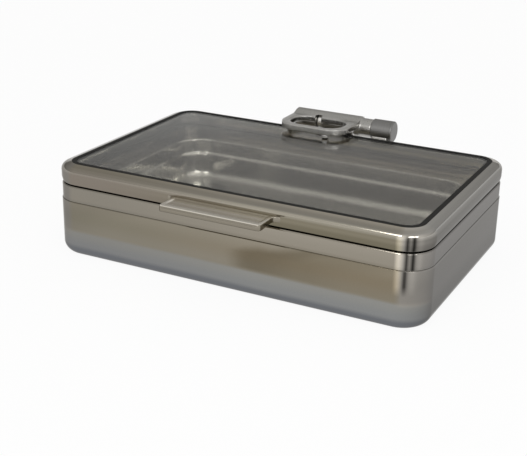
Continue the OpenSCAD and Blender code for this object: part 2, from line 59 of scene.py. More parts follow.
# %% [markdown]
# ## The camera
# The photograph looks down on the front right corner. A camera can be aimed with a tracking
# constraint, but its small roll would then be lost, so its three axes are written into a matrix.

# %% Camera
PHOTO_W = 527
FOCAL_PX = 1082.4
SENSOR_MM = 36
AZIMUTH = math.radians(26.77)
ELEVATION = math.radians(21.29)
ROLL = math.radians(1.2)
LOOK_AT = Vector((-0.0327, 0, 0.0243))
DISTANCE = 1.6729

away = Vector((
    math.sin(AZIMUTH) * math.cos(ELEVATION),
    -math.cos(AZIMUTH) * math.cos(ELEVATION),
    math.sin(ELEVATION),
))
level = Vector((math.cos(AZIMUTH), math.sin(AZIMUTH), 0))
upright = away.cross(level)
side = level * math.cos(ROLL) + upright * math.sin(ROLL)
top = upright * math.cos(ROLL) - level * math.sin(ROLL)

lens = bpy.data.cameras.new("photo_camera")
lens.sensor_fit = "HORIZONTAL"
lens.sensor_width = SENSOR_MM
lens.lens = FOCAL_PX / PHOTO_W * SENSOR_MM
camera = bpy.data.objects.new("photo_camera", lens)
turn = Matrix((side, top, away)).transposed().to_4x4()
camera.matrix_world = Matrix.Translation(LOOK_AT + away * DISTANCE) @ turn
scene.collection.objects.link(camera)
scene.camera = camera
scene.view_settings.view_transform = "Standard"
print("lens", round(lens.lens, 2), "mm")

# %% [markdown]
# ## Tools for finishes
# Every finish is a node tree on Object coordinates. Each piece sits at the origin with its place in
# its mesh, so Object coordinates are metres in the dish's own frame, and a pattern keeps its scale
# and stays with the piece when the lid opens.


# %% Finish helpers
def node_maker(tree, family=""):
    """A function that adds a node to a tree and sets or links its inputs."""

    def add(kind, inputs=None, **settings):
        node = tree.nodes.new(family + kind)
        for key, value in settings.items():
            setattr(node, key, value)
        for key, value in (inputs or {}).items():
            if isinstance(value, bpy.types.NodeSocket):
                tree.links.new(value, node.inputs[key])
            else:
                node.inputs[key].default_value = value
        return node

    return add


def start_finish(name):
    """A new material with one shader; returns the material, a node maker and the shader."""
    finish = bpy.data.materials.new(name)
    finish.use_nodes = True
    tree = finish.node_tree
    return finish, node_maker(tree, "ShaderNode"), tree.nodes["Principled BSDF"]


def connect(shader, **sockets):
    """Links outputs into the shader's named inputs; an underscore stands for a space."""
    for name, socket in sockets.items():
        shader.id_data.links.new(socket, shader.inputs[name.replace("_", " ")])


def ramp(add, factor, *stops, blend="EASE"):
    """A colour ramp with (place, colour) stops."""
    node = add("ValToRGB", {"Fac": factor})
    node.color_ramp.interpolation = blend
    while len(node.color_ramp.elements) < len(stops):
        node.color_ramp.elements.new(0.5)
    for element, (place, colour) in zip(node.color_ramp.elements, stops):
        element.position = place
        element.color = (*colour, 1)
    return node.outputs["Color"]


def stretched_noise(add, stretch, scale, detail=3):
    """Noise on Object coordinates, stretched along the axes."""
    place = add("TexCoord").outputs["Object"]
    mapped = add("Mapping", {"Vector": place, "Scale": stretch}).outputs["Vector"]
    return add("TexNoise", {"Vector": mapped, "Scale": scale, "Detail": detail}).outputs["Fac"]


def relief(add, height, strength, distance):
    """A bump from a height."""
    node = add("Bump", {"Height": height, "Strength": strength, "Distance": distance})
    return node.outputs["Normal"]


def spread(add, value, low=0.0, high=1.0, start=0.0, stop=1.0):
    """Maps a value between start and stop onto the range from low to high."""
    limits = {"From Min": start, "From Max": stop, "To Min": low, "To Max": high}
    return add("MapRange", {"Value": value, **limits}).outputs["Result"]


def scaled(add, tone, gain):
    """A colour times a number."""
    return add("VectorMath", {0: tone, "Scale": gain}, operation="SCALE").outputs["Vector"]


print("finish helpers ready")

# %% [markdown]
# ## Mirror steel
# Polished stainless steel has little colour of its own: it shows what is around it, a shade darker
# and warmer. Here that surrounding is painted into the colour: painted reflections make the long
# walls brown and the ends grey, and the painted tone drifts with height and along the dish. At the
# corners the painted brown turns to grey. Fine polishing lines run along the walls as a bump, and
# the tight corners carry upright streaks of painted reflection, light and dark. Ramps over height
# give the painted tones at the left and right of a long wall and on the ends, and attributes on the
# points say which way a wall faces and where the painted streaks are.


# %% Mirror steel
CORNER_GREY = (1.26, 1.18, 1.06)
CORNER_TURN = (0.998, 0.965)
CORNER_FADE = 0.08
LEFT_CORNER_DIM = 0.84
LEFT_TO_RIGHT = (0.15, 0.6)
DRIFT_FADE = (0.45, 0.52)
DRIFT_SLANT_FROM = 0.76
DRIFT_SLANT = -0.13
STREAK_SPAN = (-1, 2)
STREAK_GAIN = (0.1, 2.8)
WANDER_NOISE = ((1.2, 1.2, 6), 2.2)
HEIGHT_WANDER = (-0.04, 0.04)
CLOUD_NOISE = ((1, 1, 1), 14, 4)
SIDE_WANDER = (-0.06, 0.06)
POLISH_NOISE = ((3, 3, 900), 1, 2)
POLISH_STRENGTH = 0.05
POLISH_DEPTH = 0.2 * MM
MIRROR_TINT = (0.7, 0.69, 0.675, 1)


def mirror_steel(name, low, high, left, right, ends, end_lift=(1, 1), drift=None, painted_streak_zone=None,
                 gloss=(0.08, 0.13), corner=CORNER_GREY, corner_from=-1.0):
    """Polished steel, painted reflections: height tones, end lift, X drift, streaks in a span."""
    finish, add, shader = start_finish(name)
    place = add("TexCoord").outputs["Object"]
    axes = add("SeparateXYZ", {"Vector": place}).outputs

    def between(value, start, stop, first=0.0, last=1.0):
        return spread(add, value, first, last, start, stop)

    def product(one, two):
        return add("Math", {0: one, 1: two}, operation="MULTIPLY").outputs["Value"]

    def plus(one, two):
        return add("Math", {0: one, 1: two}, operation="ADD").outputs["Value"]

    def mixed(factor, one, two, kind="MIX"):
        node = add("Mix", {"Factor": factor, "A": one, "B": two}, data_type="RGBA", blend_type=kind)
        return node.outputs["Result"]

    wander = spread(add, stretched_noise(add, *WANDER_NOISE), *HEIGHT_WANDER)
    share = plus(between(axes["Z"], low, high), wander)
    cloud = stretched_noise(add, *CLOUD_NOISE)
    along = plus(between(axes["X"], lid_low.x, lid_high.x), spread(add, cloud, *SIDE_WANDER))
    facing = add("Attribute", attribute_name="long_wall").outputs["Fac"]
    # Painted reflections: ramps over height give the long walls' tones, changing from left to right.
    to_right = between(along, *LEFT_TO_RIGHT)
    long_tone = mixed(to_right, ramp(add, share, *left), ramp(add, share, *right))
    # The drift paints a patch of reflection along the walls.
    if drift:
        slanted = plus(along, between(share, DRIFT_SLANT_FROM, 1.0, 0.0, DRIFT_SLANT))
        drifted = ramp(add, slanted, *drift)
        long_tone = mixed(between(share, *DRIFT_FADE), long_tone, drifted, "MULTIPLY")
    # At the corners the painted brown turns to a painted grey, dimmer towards the left.
    grey = add("RGBToBW", {"Color": long_tone}).outputs["Val"]
    grey = product(grey, between(axes["X"], lid_low.x, 0, LEFT_CORNER_DIM, 1.0))
    high_enough = between(share, corner_from, corner_from + CORNER_FADE)
    turned = product(between(facing, *CORNER_TURN), high_enough)
    long_tone = mixed(turned, long_tone, scaled(add, corner, grey))
    # The ends get their own painted reflection tones, lifted along Y.
    lift = between(axes["Y"], lid_low.y, lid_high.y, *end_lift)
    end_tone = scaled(add, ramp(add, share, *ends), lift)
    tone = mixed(facing, end_tone, long_tone)
    # Upright streaks of painted reflection at the corners, light and dark, within a span of height.
    if painted_streak_zone:
        streak = add("Attribute", attribute_name="painted_streak").outputs["Fac"]
        foot, foot_end, head_start, head = painted_streak_zone
        inside = product(between(axes["Z"], foot, foot_end), between(axes["Z"], head, head_start))
        tone = scaled(add, tone, between(product(streak, inside), *STREAK_SPAN, *STREAK_GAIN))
    polish = stretched_noise(add, *POLISH_NOISE)
    connect(shader, Base_Color=tone, Roughness=spread(add, cloud, *gloss),
            Normal=relief(add, polish, POLISH_STRENGTH, POLISH_DEPTH))
    shader.inputs["Metallic"].default_value = 1
    shader.inputs["Specular Tint"].default_value = MIRROR_TINT
    return finish


lid_low, lid_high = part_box("lid_frame")
pan_low, pan_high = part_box("water_pan")
collar_low, collar_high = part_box("body_collar")

# The lid's ramps are painted reflections: warm on the long walls, grey on the ends, with a painted
# highlight line where the rim rounds over.
LID_STEEL = mirror_steel(
    "mirror_steel_lid", lid_low.z, lid_high.z,
    left=((0.0, (0.225, 0.197, 0.165)), (0.58, (0.23, 0.202, 0.17)), (0.72, (0.29, 0.262, 0.225)),
          (0.84, (0.235, 0.213, 0.177)), (1.0, (0.285, 0.258, 0.208))),
    right=((0.0, (0.17, 0.152, 0.108)), (0.2, (0.178, 0.159, 0.114)), (0.4, (0.226, 0.202, 0.15)),
           (0.5, (0.215, 0.192, 0.142)), (0.62, (0.29, 0.266, 0.215)),
           (0.72, (0.46, 0.427, 0.357)), (0.85, (0.235, 0.219, 0.188)), (1.0, (0.39, 0.358, 0.305))),
    ends=((0.0, (0.085, 0.082, 0.077)), (0.5, (0.125, 0.122, 0.115)), (0.71, (0.25, 0.244, 0.232)),
          (0.84, (0.42, 0.412, 0.397)), (1.0, (0.52, 0.511, 0.493))),
    end_lift=(0.98, 0.92), painted_streak_zone=(0.112, 0.113, 0.13, 0.135),
)
# The collar's ramps are painted reflections, with a painted highlight along the seam at the foot of
# its ends.
COLLAR_STEEL = mirror_steel(
    "mirror_steel_collar", collar_low.z, collar_high.z,
    left=((0.0, (0.22, 0.204, 0.172)), (0.25, (0.25, 0.229, 0.193)), (1.0, (0.25, 0.231, 0.196))),
    right=((0.0, (0.24, 0.215, 0.172)), (0.25, (0.29, 0.263, 0.217)), (1.0, (0.318, 0.289, 0.242))),
    ends=((0.0, (0.24, 0.236, 0.23)), (0.07, (0.142, 0.139, 0.136)), (1.0, (0.157, 0.152, 0.149))),
    end_lift=(1.2, 1.0), painted_streak_zone=(0.086, 0.087, 0.109, 0.111), corner=(1.05, 0.98, 0.88),
)
# The pan's ramps paint a brown reflection over a grey-blue band and ends that darken towards the
# foot, with a painted highlight along the seam at the top of its ends; the drift paints a darker
# patch of reflection along the walls.
PAN_STEEL = mirror_steel(
    "mirror_steel_pan", pan_low.z, pan_high.z,
    left=((0.0, (0.135, 0.141, 0.156)), (0.14, (0.148, 0.154, 0.166)), (0.24, (0.212, 0.214, 0.214)),
          (0.43, (0.236, 0.232, 0.217)), (0.51, (0.24, 0.217, 0.173)), (0.74, (0.224, 0.202, 0.155)),
          (1.0, (0.255, 0.227, 0.178))),
    right=((0.0, (0.13, 0.136, 0.15)), (0.14, (0.146, 0.152, 0.164)), (0.24, (0.236, 0.24, 0.238)),
           (0.43, (0.264, 0.262, 0.247)), (0.5, (0.235, 0.212, 0.167)), (0.74, (0.231, 0.2, 0.148)),
           (1.0, (0.268, 0.24, 0.187))),
    ends=((0.0, (0.058, 0.06, 0.063)), (0.25, (0.09, 0.09, 0.089)), (0.6, (0.125, 0.122, 0.12)),
          (0.96, (0.133, 0.13, 0.126)), (1.0, (0.2, 0.196, 0.19))),
    end_lift=(1.12, 0.96),
    drift=((0.0, (0.86, 0.87, 0.88)), (0.2, (0.98, 0.99, 1.0)), (0.5, (1.05, 1.05, 1.07)),
           (0.6, (0.7, 0.67, 0.62)), (0.7, (0.84, 0.81, 0.76)), (0.85, (0.95, 0.92, 0.88)),
           (1.0, (0.97, 0.95, 0.92))),
    painted_streak_zone=(0.05, 0.064, 0.0845, 0.086), corner_from=0.4,
)
# Painted reflection on the tab: its flat top is light and its lip and sides are darker.
LIP_TONES = ((0.2, (0.215, 0.192, 0.152)), (0.5, (0.295, 0.268, 0.22)))
TOP_TONES = ((0.3, (0.8, 0.765, 0.69)), (0.6, (0.9, 0.86, 0.785)))
TAB_STEEL = mirror_steel("mirror_steel_tab", lid_low.z, lid_high.z, TOP_TONES, TOP_TONES, LIP_TONES,
                         gloss=(0.18, 0.26))
print("mirror steels", LID_STEEL.name, COLLAR_STEEL.name, PAN_STEEL.name, TAB_STEEL.name)

# %% [markdown]
# ## The other finishes
# The food pan is satin: its drawing marks scatter the light along one direction. The hinge is cast
# and tumbled, so it has a fine even grain. Rubber, plastic and bronze get their own grain as well.
# An attribute on the points darkens a finish as painted shade and lightens it as painted light.


# %% Satin, cast, rubber, plastic and bronze
HIGHLIGHT_GAIN = 1.8
SHADE_GAIN = 0.2
GRAIN_RELIEF = 0.25
GRAIN_SPAN = (0.6, 1.4)
BROAD_NOISE = ((1, 1, 1), 9, 2)


def grained(name, dark, light, grain, gloss, depth, metal=0.0, stretch=(1, 1, 1)):
    """A finish whose colour, gloss and relief follow one grain."""
    finish, add, shader = start_finish(name)
    fine = stretched_noise(add, stretch, grain, 4)
    broad = stretched_noise(add, *BROAD_NOISE)
    both = add("Math", {0: fine, 1: broad}, operation="ADD").outputs["Value"]
    share = spread(add, both, 0.0, 1.0, *GRAIN_SPAN)
    # Painted shade darkens the colour and painted light lightens it, by the attribute on the points.
    painted_light_shade = add("Attribute", attribute_name="painted_light_shade").outputs["Fac"]
    keep = spread(add, painted_light_shade, HIGHLIGHT_GAIN, SHADE_GAIN, start=-1.0)
    tone = ramp(add, share, (0.0, dark), (1.0, light))
    connect(shader, Base_Color=scaled(add, tone, keep), Roughness=spread(add, fine, *gloss),
            Normal=relief(add, fine, GRAIN_RELIEF, depth))
    shader.inputs["Metallic"].default_value = metal
    return finish


SATIN_STEEL = grained("satin_steel", (0.43, 0.42, 0.385), (0.5, 0.49, 0.455),
                      1, (0.1, 0.15), 0.01 * MM, 1.0, (25, 25, 700))
CAST_STEEL = grained("cast_steel", (0.38, 0.371, 0.353), (0.455, 0.446, 0.426),
                     900, (0.24, 0.32), 0.03 * MM, 1.0)
TURNED_STEEL = grained("turned_steel", (0.205, 0.202, 0.196), (0.24, 0.236, 0.229),
                       1, (0.42, 0.52), 0.02 * MM, 1.0, (500, 40, 40))
SCREW_STEEL = grained("screw_steel", (0.30, 0.30, 0.30), (0.42, 0.42, 0.41),
                      1200, (0.22, 0.36), 0.03 * MM, 1.0)
POST_STEEL = grained("post_steel", (0.62, 0.61, 0.60), (0.72, 0.71, 0.70),
                     600, (0.06, 0.1), 0.02 * MM, 1.0)
BLACK_RUBBER = grained("black_rubber", (0.013, 0.013, 0.012), (0.02, 0.019, 0.018),
                       700, (0.55, 0.7), 0.06 * MM)
RUBBER_SHINE = 0.1
rubber_shader = BLACK_RUBBER.node_tree.nodes["Principled BSDF"]
rubber_shader.inputs["Specular IOR Level"].default_value = RUBBER_SHINE
BLACK_PLASTIC = grained("black_plastic", (0.03, 0.03, 0.03), (0.05, 0.05, 0.05),
                        900, (0.35, 0.5), 0.05 * MM)
BRONZE = grained("bronze", (0.42, 0.28, 0.13), (0.55, 0.38, 0.18),
                 1500, (0.3, 0.45), 0.04 * MM, 1.0)
print("grained finishes", len(bpy.data.materials))

# %% Glass finish
GLASS_TINT = (0.9, 0.895, 0.87, 1)
GLASS_IOR = 1.5
SMEAR_NOISE = ((2, 9, 1), 3, 4)
SMEAR_GLOSS = (0.02, 0.06)


def clear_glass(name):
    """Tempered glass with faint smears from wiping."""
    finish, add, shader = start_finish(name)
    smear = stretched_noise(add, *SMEAR_NOISE)
    connect(shader, Roughness=spread(add, smear, *SMEAR_GLOSS))
    shader.inputs["Base Color"].default_value = GLASS_TINT
    shader.inputs["Transmission Weight"].default_value = 1
    shader.inputs["IOR"].default_value = GLASS_IOR
    return finish


GLASS = clear_glass("clear_glass")
print("glass", GLASS.name)

# %% [markdown]
# ## Sections of sheet
# Most pieces of the dish are one section carried round a rectangle with round corners. Sharp bends
# of the section are rounded first, as in real sheet, so that every edge catches a highlight.


# %% Sections
LEAST_BEND = math.radians(14)
BEND_REACH = 0.45


def smooth(t):
    """Eases from 0 to 1."""
    t = min(max(t, 0), 1)
    return t * t * (3 - 2 * t)


def arc(middle, radius, start, end, steps=10):
    """Points of an arc between two angles in degrees."""
    turns = [math.radians(start + (end - start) * i / steps) for i in range(steps + 1)]
    return [(middle[0] + radius * math.cos(a), middle[1] + radius * math.sin(a)) for a in turns]


def soften(section, radius, closed=True, steps=4):
    """Rounds the bends of a section, and leaves its ends alone where it isn't closed."""
    points = [Vector(p) for p in section]
    rounded = []
    for i, p in enumerate(points):
        before, after = points[i - 1] - p, points[(i + 1) % len(points)] - p
        at_end = not closed and i in (0, len(points) - 1)
        bend = math.pi if at_end or not before.length or not after.length else before.angle(after)
        if math.pi - bend < LEAST_BEND:
            rounded.append(p)
            continue
        room = BEND_REACH * min(before.length, after.length)
        reach = min(radius * math.tan((math.pi - bend) / 2), room)
        first, last = p + before.normalized() * reach, p + after.normalized() * reach
        for k in range(steps + 1):
            t = k / steps
            rounded.append(first * (1 - t) ** 2 + p * 2 * t * (1 - t) + last * t ** 2)
    return [(p.x, p.y) for p in rounded]


def outline(*anchors):
    """Plan sizes (w, d, r) at a place x of the section; anchors (x, w, d, r) go from outside in."""

    def at(x):
        for outer, inner in zip(anchors, anchors[1:]):
            if inner[0] < x < outer[0]:
                t = (outer[0] - x) / (outer[0] - inner[0])
                return [a + (b - a) * t for a, b in zip(outer[1:], inner[1:])]
        near = anchors[0] if x >= anchors[0][0] else anchors[-1]
        step = x - near[0]
        return [near[1] + 2 * step, near[2] + 2 * step, near[3] + step]

    return at


def spans(low, high):
    """Width and depth of a box."""
    return high.x - low.x, high.y - low.y


print("section helpers ready")

# %% [markdown]
# ## Carrying a section round the dish
# A curve with a bevel object could carry a section, but its corners would not keep the section's
# width. Here each point of the section becomes a ring of its own, and the rings are skinned into one
# closed wall. The points also say which way the wall faces and where the corners' streaks of painted
# reflection are, for the mirror steel. The front right corner has the strongest painted streaks and
# the crispest turn.


# %% Carry and settle
CORNER_STEPS = 32
CORNER_SIDES = ((1, 1), (-1, 1), (-1, -1), (1, -1))
CRISP_CORNER = 3
STREAK_SHARES = (0.35, 0.35, 0.35, 1.0)
STREAK_FADE = 0.04
# Painted reflection streaks across a corner, as place, width and gain: light above 0, dark below.
FOLD_STREAKS = ((0.10, 0.075, 1.3), (0.25, 0.04, -1.0), (0.38, 0.045, -1.1), (0.52, 0.06, 0.25))
DEEP_STREAKS = ((0.10, 0.065, 1.0), (0.235, 0.05, -1.0), (0.38, 0.08, 0.3))
FACING_TURN = 0.8
FACING_EASE = 0.4
INSIDE = 15.9 * MM
INSIDE_FACING = 0.4


def painted_streak(t, streaks):
    """Brightness of upright painted reflection streaks across a corner, 0 at both ends of it."""
    fade = min(t / STREAK_FADE, (1 - t) / STREAK_FADE, 1)
    return fade * sum(gain * math.exp(-((t - at) / width) ** 2) for at, width, gain in streaks)


def wall_facing(a, quarter, x):
    """1 on a long wall and 0 on an end, by the angle round a corner and the place in the section."""
    facing = abs(math.sin(a)) ** FACING_TURN
    if quarter != CRISP_CORNER:
        facing *= smooth(abs(math.sin(a)) / FACING_EASE)
    return max(facing, INSIDE_FACING) if x < -INSIDE else facing


def skin(shape, rings, closed=True):
    """Joins each ring of points to the next one, and the last to the first if closed."""
    following = rings[1:] + (rings[:1] if closed else [])
    for low, high in zip(rings, following):
        for i in range(len(low)):
            j = (i + 1) % len(low)
            shape.faces.new((low[i], low[j], high[j], high[i]))


def carry(name, section, plan, closed=True, streaks=FOLD_STREAKS):
    """Carries a section round the plan; an open section gets flat ends, as a pan's floor."""
    shape = bmesh.new()
    streak_layer = shape.verts.layers.float.new("painted_streak")
    wall_layer = shape.verts.layers.float.new("long_wall")
    rings = []
    for x, z in section:
        w, d, r = plan(x)
        ring = []
        for quarter, (sx, sy) in enumerate(CORNER_SIDES):
            for i in range(CORNER_STEPS + 1):
                a = math.radians(90 * (quarter + i / CORNER_STEPS))
                spot = (sx * (w / 2 - r) + r * math.cos(a), sy * (d / 2 - r) + r * math.sin(a), z)
                point = shape.verts.new(spot)
                point[streak_layer] = painted_streak(i / CORNER_STEPS, streaks) * STREAK_SHARES[quarter]
                point[wall_layer] = wall_facing(a, quarter, x)
                ring.append(point)
        rings.append(ring)
    skin(shape, rings, closed)
    if not closed:
        shape.faces.new(rings[0])
        shape.faces.new(rings[-1])
    return close_up(name, shape)


def close_up(name, shape, sharp=42):
    """A piece with smooth shading, sharp creases and normals that follow the larger faces."""
    mesh = bpy.data.meshes.new(name)
    bmesh.ops.recalc_face_normals(shape, faces=shape.faces)
    shape.to_mesh(mesh)
    shape.free()
    mesh.shade_smooth()
    mesh.set_sharp_from_angle(angle=math.radians(sharp))
    piece = bpy.data.objects.new(name, mesh)
    scene.collection.objects.link(piece)
    weights = piece.modifiers.new("face_weights", "WEIGHTED_NORMAL")
    weights.keep_sharp = True
    return piece


def paint(piece, layer, rule):
    """Writes an attribute on a piece's points; the rule gets a point's place and normal."""
    mesh = piece.data
    values = mesh.attributes.new(layer, "FLOAT", "POINT").data
    for point, normal, value in zip(mesh.vertices, mesh.vertex_normals, values):
        value.value = rule(point.co, normal.vector)


def settle(piece, finish, body, slot, *nodes):
    """Gives a piece its finish, the body that it moves with and the solids that it stands for."""
    piece.data.materials.clear()
    piece.data.materials.append(finish)
    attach(piece, body)
    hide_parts(*nodes)
    print(piece.name, len(piece.data.polygons), "faces on", body)


print("carry helpers ready")

# %% [markdown]
# ## The water pan
# The lower body is one deep-drawn pan with a rounded base. Its wall turns in at the top as a narrow
# seam that the collar sits on. It is carried as an open section whose two ends close the floor.

# %% Water pan
BODY_R = 42.4 * MM
BASE_ROUND = 17 * MM
BODY_SHEET = 1.2 * MM
STEP_ROUND = 1.6 * MM
SEAM_W = 7 * MM
WATER_PAN_BEND = 0.5 * MM

step_z = pan_high.z
body_w, body_d = spans(pan_low, pan_high)
base = (-BASE_ROUND, BASE_ROUND)
shoulder = (-STEP_ROUND, step_z - STEP_ROUND)
outside = arc(base, BASE_ROUND, -90, 0, 14) + arc(shoulder, STEP_ROUND, 0, 90, 6)
outside += [(-SEAM_W, step_z)]
inside = [(-SEAM_W, step_z - BODY_SHEET), (-BODY_SHEET, step_z - BODY_SHEET - STEP_ROUND)]
inside += arc(base, BASE_ROUND - BODY_SHEET, 0, -90, 14)
water_pan = carry("water_pan_shell", soften(outside + inside, WATER_PAN_BEND, closed=False),
                  outline((0, body_w, body_d, BODY_R)), closed=False, streaks=DEEP_STREAKS)
settle(water_pan, PAN_STEEL, "dish", "polished_steel", "water_pan")

# %% [markdown]
# ## The collar and the ledge
# The collar is a folded band: a seam flange below, an upright face, a rounded rim, a flat top and
# the wall of the well. The well has a tighter corner than the outside, so the plan sizes change from
# one anchor to the next. A flat ring under the wall carries the food pan's flange.

# %% Collar
COLLAR_R = 41.4 * MM
COLLAR_ROUND = 3 * MM
SEAM = 6 * MM
TOP_EDGE = 12 * MM
FLANGE_R = 20 * MM
COLLAR_BEND = 0.6 * MM

ledge_low, ledge_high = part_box("pan_ledge")
flange_low, flange_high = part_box("food_pan")
rim_z, ledge_z = collar_high.z, ledge_high.z
collar_w, collar_d = spans(collar_low, collar_high)
well_w, well_d = (span - 2 * BODY_SHEET for span in spans(ledge_low, ledge_high))
well_r = FLANGE_R + (well_w - flange_high.x + flange_low.x) / 2
well_x = (well_w - collar_w) / 2
rim = (-COLLAR_ROUND, rim_z - COLLAR_ROUND)
band = [(-SEAM, step_z), (0, step_z)] + arc(rim, COLLAR_ROUND, 0, 90, 8)
band += [(well_x, rim_z), (well_x, ledge_z), (well_x + BODY_SHEET, ledge_z),
         (well_x + BODY_SHEET, rim_z - BODY_SHEET)]
band += arc(rim, COLLAR_ROUND - BODY_SHEET, 90, 0, 8)
band += [(-BODY_SHEET, step_z + BODY_SHEET), (-SEAM, step_z + BODY_SHEET)]
collar_plan = outline(
    (0, collar_w, collar_d, COLLAR_R),
    (-TOP_EDGE, collar_w - 2 * TOP_EDGE, collar_d - 2 * TOP_EDGE, COLLAR_R - TOP_EDGE),
    (well_x, well_w, well_d, well_r),
)
collar = carry("collar_band", soften(band, COLLAR_BEND), collar_plan)
settle(collar, COLLAR_STEEL, "dish", "polished_steel", "body_collar")

# %% Ledge
LEDGE_OPENING_R = 52 * MM
LEDGE_GAP = 2 * MM
LEDGE_BEND = 0.35 * MM
PAN_FLANGE = 13 * MM

pan_w, pan_d = spans(flange_low, flange_high)
opening_w = pan_w - 2 * PAN_FLANGE + 2 * LEDGE_GAP
opening_d = pan_d - 2 * PAN_FLANGE + 2 * LEDGE_GAP
ledge_x = (opening_w - well_w) / 2 - BODY_SHEET
ledge_section = [(0, ledge_low.z), (0, ledge_z), (ledge_x, ledge_z), (ledge_x, ledge_low.z)]
ledge_plan = outline((0, well_w + 2 * BODY_SHEET, well_d + 2 * BODY_SHEET, well_r + BODY_SHEET),
                     (ledge_x, opening_w, opening_d, LEDGE_OPENING_R))
ledge = carry("pan_ledge_ring", soften(ledge_section, LEDGE_BEND), ledge_plan)
settle(ledge, SATIN_STEEL, "dish", "pan_steel", "pan_ledge")

# %% [markdown]
# ## The food pan
# A full-size insert pan: a flat flange, a short upright wall, an inward stacking shoulder, a second
# wall and a floor with a wide round. The flange has tighter corners than the walls. The section is
# open and its two ends become the two faces of the floor. The floor is darker than the walls with
# painted shade, and the corners are lighter with a painted highlight.

# %% Food pan
PAN_CORNER_R = 50 * MM
PAN_BASE_R = 14 * MM
PAN_SHOULDER = 22 * MM
SHOULDER_STEP = 3 * MM
PAN_DRAFT = 1.4 * MM
PAN_SHEET = 1 * MM
PAN_BEND = 2.4 * MM

floor_z, pan_top = flange_low.z, flange_high.z
shoulder_z = pan_top - PAN_SHOULDER
wall_x = -PAN_FLANGE
foot_x = wall_x - 2 * PAN_DRAFT - SHOULDER_STEP
bend = (foot_x - PAN_BASE_R, floor_z + PAN_BASE_R)
above = (wall_x - PAN_DRAFT, shoulder_z)
below = (above[0] - SHOULDER_STEP, shoulder_z - SHOULDER_STEP)
outside = arc(bend, PAN_BASE_R, -90, 0, 12) + [below, above, (wall_x, pan_top - PAN_SHEET)]
edge = [(0, pan_top - PAN_SHEET), (0, pan_top), (wall_x - PAN_SHEET, pan_top)]
inside = [(above[0] - PAN_SHEET, above[1]), (below[0] - PAN_SHEET, below[1])]
inside += arc(bend, PAN_BASE_R - PAN_SHEET, 0, -90, 12)
pan_plan = outline((0, pan_w, pan_d, FLANGE_R),
                   (wall_x, pan_w - 2 * PAN_FLANGE, pan_d - 2 * PAN_FLANGE, PAN_CORNER_R))
pan_section = soften(outside + edge + inside, PAN_BEND, closed=False, steps=5)
food_pan = carry("food_pan_shell", pan_section, pan_plan, closed=False)
print("food pan", len(pan_section), "points in its section")

# %% Floor and corners of the food pan
# Painted shade on the pan's floor and a painted highlight in its corners.
FLOOR_SHADE = 0.85
SHADE_TOP = 4 * MM
CORNER_HIGHLIGHT = 0.6

straight_x = pan_w / 2 - PAN_FLANGE - PAN_CORNER_R
straight_y = pan_d / 2 - PAN_FLANGE - PAN_CORNER_R


def pan_light_and_shade(place, _normal):
    """Painted shade on the floor and a painted highlight in the corners."""
    into_corner = min(abs(place.x) - straight_x, abs(place.y) - straight_y) / PAN_CORNER_R
    floor_shade = FLOOR_SHADE * smooth((floor_z + SHADE_TOP - place.z) / SHADE_TOP)
    return floor_shade or -smooth(into_corner / CORNER_HIGHLIGHT)


paint(food_pan, "painted_light_shade", pan_light_and_shade)
settle(food_pan, SATIN_STEEL, "insert_pan", "pan_steel", "food_pan")

# %% [markdown]
# ## The lid frame
# The frame is folded from one strip: a turned-in flange, a tucked skirt, the rounded outer edge, a
# top that slopes up to the glass and a lip that goes down inside the gasket.

# %% Lid frame
LID_R = 42 * MM
LID_SHEET = 1.5 * MM
RIM_ROUND = 9.5 * MM
RIM_SLOPE = math.radians(16)
SKIRT_TUCK = 1.5 * MM
SKIRT_TUCK_H = 7 * MM
SKIRT_FLANGE = 11 * MM
GASKET_INSET = 16 * MM
LIP_OVERLAP = 6 * MM
LID_BEND = 0.8 * MM

gasket_low, gasket_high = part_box("glass_gasket")
lid_w, lid_d = spans(lid_low, lid_high)
lid_z, lid_top = lid_low.z, lid_high.z
slope_run = GASKET_INSET - RIM_ROUND * (1 - math.sin(RIM_SLOPE))
round_z = lid_top - RIM_ROUND * math.cos(RIM_SLOPE) - slope_run * math.tan(RIM_SLOPE)
turned = (-RIM_ROUND, round_z)
lip_x = -GASKET_INSET + LID_SHEET
lip_z = gasket_low.z - LIP_OVERLAP
inner_round = RIM_ROUND - LID_SHEET
lip_top = round_z + inner_round * math.cos(RIM_SLOPE)
lip_top += (-RIM_ROUND + inner_round * math.sin(RIM_SLOPE) - lip_x) * math.tan(RIM_SLOPE)
slope_end = 90 - math.degrees(RIM_SLOPE)
section = [(-SKIRT_TUCK, lid_z), (0, lid_z + SKIRT_TUCK_H)]
section += arc(turned, RIM_ROUND, 0, slope_end, 16)
section += [(-GASKET_INSET, lid_top), (-GASKET_INSET, lip_z), (lip_x, lip_z), (lip_x, lip_top)]
section += arc(turned, inner_round, slope_end, 0, 12)
section += [(-LID_SHEET, lid_z + SKIRT_TUCK_H), (-SKIRT_TUCK - LID_SHEET, lid_z + LID_SHEET),
            (-SKIRT_FLANGE, lid_z + LID_SHEET), (-SKIRT_FLANGE, lid_z)]
lid_frame = carry("lid_rim_frame", soften(section, LID_BEND), outline((0, lid_w, lid_d, LID_R)))
settle(lid_frame, LID_STEEL, "lid", "polished_steel", "lid_frame")

# %% [markdown]
# ## Glass, gasket, retainer and seal
# The pane sits in a black channel gasket, an angle ring holds the gasket up, and a soft ring on the
# body's rim meets the lid. The pane's edge is ground round, so it is a section with flat ends too.

# %% Glass
GLASS_EDGE = 1 * MM

